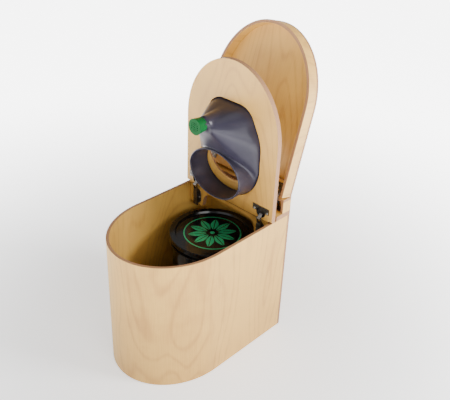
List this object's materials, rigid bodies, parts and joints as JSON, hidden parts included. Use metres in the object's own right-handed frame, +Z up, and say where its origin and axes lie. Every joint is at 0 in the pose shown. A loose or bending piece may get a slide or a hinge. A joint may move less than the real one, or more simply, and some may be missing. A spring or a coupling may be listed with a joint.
{
  "type": "composting toilet",
  "caption": "Plywood dry separating toilet with a bent body, hinged seat and lid, moulded urine separator, and a lidded pail and a canister inside.",
  "frame": {"origin": "on the floor, at the middle of the body's width and depth, on the base board's underside", "axes": "+Z up; the curved front is towards -Y and the hinged back towards +Y; +X is to the right seen from the front"},
  "size_m": [0.355, 0.6284, 0.9508],
  "materials": {
    "birch_ply": "clear oiled birch plywood, satin",
    "slate_plastic": "glossy moulded slate-grey plastic",
    "green_plastic": "bright green moulded plastic",
    "black_plastic": "glossy black plastic",
    "hinge_metal": "dark nickel-plated pressed steel",
    "screw_steel": "zinc-plated steel",
    "canister_plastic": "natural blow-moulded plastic"
  },
  "bodies": {
    "body": {"body_shell": "birch_ply", "back_panel": "birch_ply", "base_board": "birch_ply", "hinge_rail": "birch_ply", "rear_shelf": "birch_ply", "block_cheek_left": "birch_ply", "block_cheek_right": "birch_ply", "block_back_strip": "birch_ply", "block_top": "birch_ply", "seat_arm_left": "hinge_metal", "seat_arm_right": "hinge_metal", "seat_plate_left": "hinge_metal", "seat_plate_right": "hinge_metal", "seat_hinge_pins": "screw_steel", "seat_plate_screws": "screw_steel", "lid_bracket_left": "hinge_metal", "lid_bracket_right": "hinge_metal", "lid_hinge_pins": "screw_steel", "lid_bracket_screws": "screw_steel", "pail": "black_plastic", "canister": "canister_plastic", "canister_funnel": "canister_plastic"},
    "seat": {"seat_board": "birch_ply", "separator": "slate_plastic", "seat_cup_left": "hinge_metal", "seat_cup_right": "hinge_metal", "seat_cup_screws": "screw_steel"},
    "seat_links": {"seat_link_left": "hinge_metal", "seat_link_right": "hinge_metal"},
    "lid": {"lid_board": "birch_ply", "lid_skirt": "birch_ply", "lid_batten": "birch_ply", "lid_arm_left": "hinge_metal", "lid_arm_right": "hinge_metal", "lid_arm_screws": "screw_steel"},
    "strainer": {"strainer_cap": "green_plastic"},
    "pail_cover": {"pail_lid": "black_plastic"}
  },
  "joints": [
    {"name": "lid_hinge", "type": "hinge", "parent": "body", "child": "lid", "pos_m": [0, 0.23213, 0.47364], "axis": [1, 0, 0], "range_deg": [0, 105.56]},
    {"name": "seat_hinge", "type": "hinge", "parent": "body", "child": "seat", "pos_m": [0, 0.17925, 0.43875], "axis": [1, 0, 0], "range_deg": [0, 90]},
    {"name": "seat_link_turn", "type": "hinge", "parent": "body", "child": "seat_links", "pos_m": [0, 0.16, 0.432], "axis": [1, 0, 0], "range_deg": [-50, 0]},
    {"name": "strainer_turn", "type": "hinge", "parent": "seat", "child": "strainer", "pos_m": [0, 0.045, 0.719], "axis": [0, -1, 0], "range_deg": [0, 90]},
    {"name": "pail_lid_lift", "type": "slide", "parent": "body", "child": "pail_cover", "axis": [0, 0, 1], "range_m": [0, 0.007]}
  ],
  "couplings": [
    {"joint": "seat_hinge", "follows": "lid_hinge", "ratio": 0.8526},
    {"joint": "seat_link_turn", "follows": "lid_hinge", "ratio": -0.47366}
  ]
}
